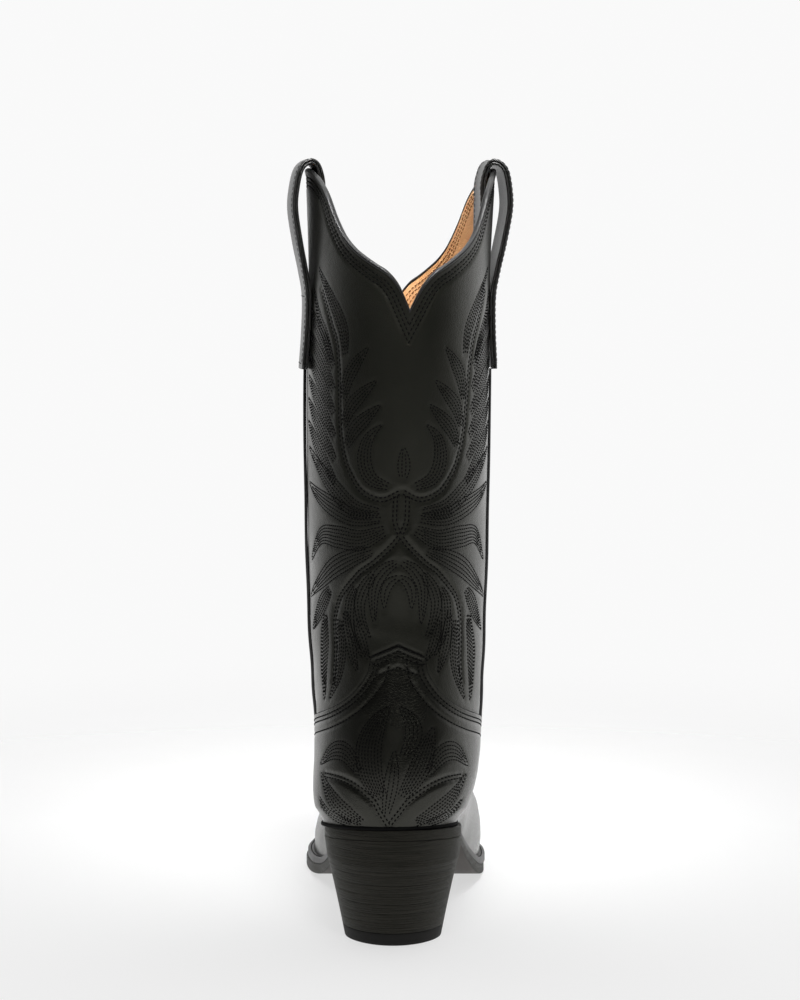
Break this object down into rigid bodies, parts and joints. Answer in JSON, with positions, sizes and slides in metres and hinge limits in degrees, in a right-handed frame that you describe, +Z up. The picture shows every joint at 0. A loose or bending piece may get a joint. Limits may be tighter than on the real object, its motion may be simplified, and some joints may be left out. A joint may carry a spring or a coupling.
{
  "type": "cowboy boot",
  "caption": "Black western pull-on boot for the right foot, with embroidered shaft, deep scalloped rim, two pull straps, peaked heel cover and stacked underslung heel.",
  "frame": {"origin": "centre of the ground face of the heel's top lift", "axes": "+X towards the outer side of the right foot, +Y from heel to toe, +Z up; the ground is z = 0"},
  "size_m": [0.106, 0.2954, 0.3628],
  "materials": {
    "black_leather": "semi-gloss",
    "lining_leather": "matte",
    "stiffener_board": "matte",
    "interlining_cloth": "matte",
    "insole_leather": "matte",
    "cork": "matte",
    "steel": "satin",
    "sole_leather": "satin",
    "stacked_leather": "satin",
    "heel_rubber": "matte"
  },
  "bodies": {
    "root": {"vamp": "black_leather", "counter_cover": "black_leather", "shaft_back": "black_leather", "shaft_front": "black_leather", "side_piping_lateral": "black_leather", "side_piping_medial": "black_leather", "rim_bead_back": "black_leather", "rim_bead_front": "black_leather", "shaft_lining_back": "lining_leather", "shaft_lining_front": "lining_leather", "vamp_lining": "lining_leather", "heel_lining": "lining_leather", "counter_stiffener": "stiffener_board", "toe_box": "stiffener_board", "vamp_interlining": "interlining_cloth", "pull_strap_lateral": "black_leather", "pull_strap_lateral_backing": "black_leather", "pull_strap_medial": "black_leather", "pull_strap_medial_backing": "black_leather", "sock_liner": "lining_leather", "insole": "insole_leather", "shank": "steel", "bottom_filler": "cork", "welt": "sole_leather", "heel_seat_rand": "sole_leather", "outsole": "sole_leather", "heel_base": "stacked_leather", "heel_lift_1": "stacked_leather", "heel_lift_2": "stacked_leather", "heel_lift_3": "stacked_leather", "heel_lift_4": "stacked_leather", "heel_lift_5": "stacked_leather", "heel_lift_6": "stacked_leather", "heel_lift_7": "stacked_leather", "heel_top_lift": "heel_rubber", "heel_nails": "steel"}
  },
  "joints": []
}
